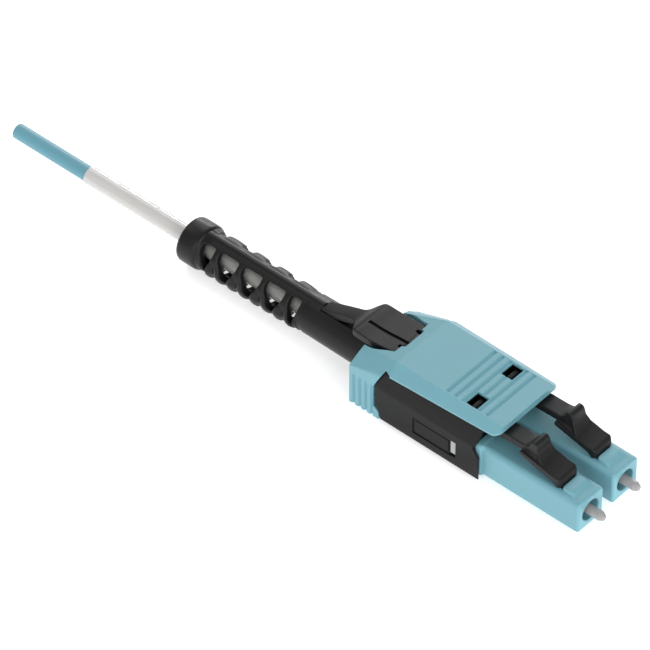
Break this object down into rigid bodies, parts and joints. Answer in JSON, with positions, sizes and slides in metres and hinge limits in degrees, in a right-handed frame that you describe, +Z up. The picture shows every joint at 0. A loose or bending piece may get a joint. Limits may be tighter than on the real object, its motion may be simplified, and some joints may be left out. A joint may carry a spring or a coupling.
{
  "type": "lc fibre connector",
  "caption": "Push-pull fibre-optic plug with sprung ferrules, pivoting latches, a sliding cover with a release button, and a lattice boot on a round cable.",
  "frame": {"origin": "on the surface that the plug rests on, under the middle of the plug without its cable", "axes": "+X out of the ferrules, +Y to the left seen from behind the plug, +Z up through the latches"},
  "size_m": [0.095, 0.0124, 0.0094],
  "materials": {
    "black_body": "satin moulded",
    "black_latch": "satin moulded",
    "black_boot": "matte flexible",
    "aqua_housing": "satin moulded",
    "aqua_cover": "satin moulded",
    "aqua_jacket": "satin extruded",
    "white_tube": "glossy",
    "ceramic": "polished ceramic",
    "nickel": "plated",
    "spring_steel": "drawn wire",
    "grey_insert": "satin moulded",
    "pale_insert": "satin moulded",
    "fibre_buffer": "coated",
    "yarn": "woven aramid"
  },
  "bodies": {
    "core": {"body_base": "black_body", "body_lid": "black_body", "plug_housing_left": "aqua_housing", "plug_housing_right": "aqua_housing", "spring_stop_left": "grey_insert", "spring_stop_right": "grey_insert", "ferrule_spring_left": "spring_steel", "ferrule_spring_right": "spring_steel", "polarity_indicator_left": "pale_insert", "polarity_indicator_right": "pale_insert", "crimp_post": "nickel", "strength_yarn": "yarn", "crimp_ring": "nickel", "fibre_left": "fibre_buffer", "fibre_right": "fibre_buffer", "cable_jacket": "aqua_jacket", "cable_sleeve": "white_tube"},
    "slider": {"outer_cover": "aqua_cover", "boot": "black_boot"},
    "button": {"release_button": "black_latch"},
    "latch_l": {"latch_left": "black_latch"},
    "latch_r": {"latch_right": "black_latch"},
    "ferrule_l": {"ferrule_left": "ceramic", "ferrule_flange_left": "nickel"},
    "ferrule_r": {"ferrule_right": "ceramic", "ferrule_flange_right": "nickel"}
  },
  "joints": [
    {"name": "cover_pull", "type": "slide", "parent": "core", "child": "slider", "axis": [-1, 0, 0], "range_m": [0, 0.002], "stiffness_N_per_m": 400},
    {"name": "latch_left_press", "type": "hinge", "parent": "core", "child": "latch_l", "pos_m": [0.0273, 0.00313, 0.00498], "axis": [0, -1, 0], "range_deg": [0, 5], "stiffness_Nm_per_rad": 0.002},
    {"name": "latch_right_press", "type": "hinge", "parent": "core", "child": "latch_r", "pos_m": [0.0273, -0.00313, 0.00498], "axis": [0, -1, 0], "range_deg": [0, 5], "stiffness_Nm_per_rad": 0.002},
    {"name": "ferrule_left_float", "type": "slide", "parent": "core", "child": "ferrule_l", "axis": [-1, 0, 0], "range_m": [0, 0.0008], "stiffness_N_per_m": 1500, "deforming": ["ferrule_spring_left"]},
    {"name": "ferrule_right_float", "type": "slide", "parent": "core", "child": "ferrule_r", "axis": [-1, 0, 0], "range_m": [0, 0.0008], "stiffness_N_per_m": 1500, "deforming": ["ferrule_spring_right"]},
    {"name": "button_press", "type": "hinge", "parent": "slider", "child": "button", "pos_m": [-0.011, 0, 0.00573], "axis": [0, 1, 0], "range_deg": [0, 3], "stiffness_Nm_per_rad": 0.02}
  ],
  "couplings": [
    {"joint": "latch_left_press", "follows": "cover_pull", "rad_per_m": 43.6},
    {"joint": "latch_right_press", "follows": "cover_pull", "rad_per_m": 43.6}
  ]
}
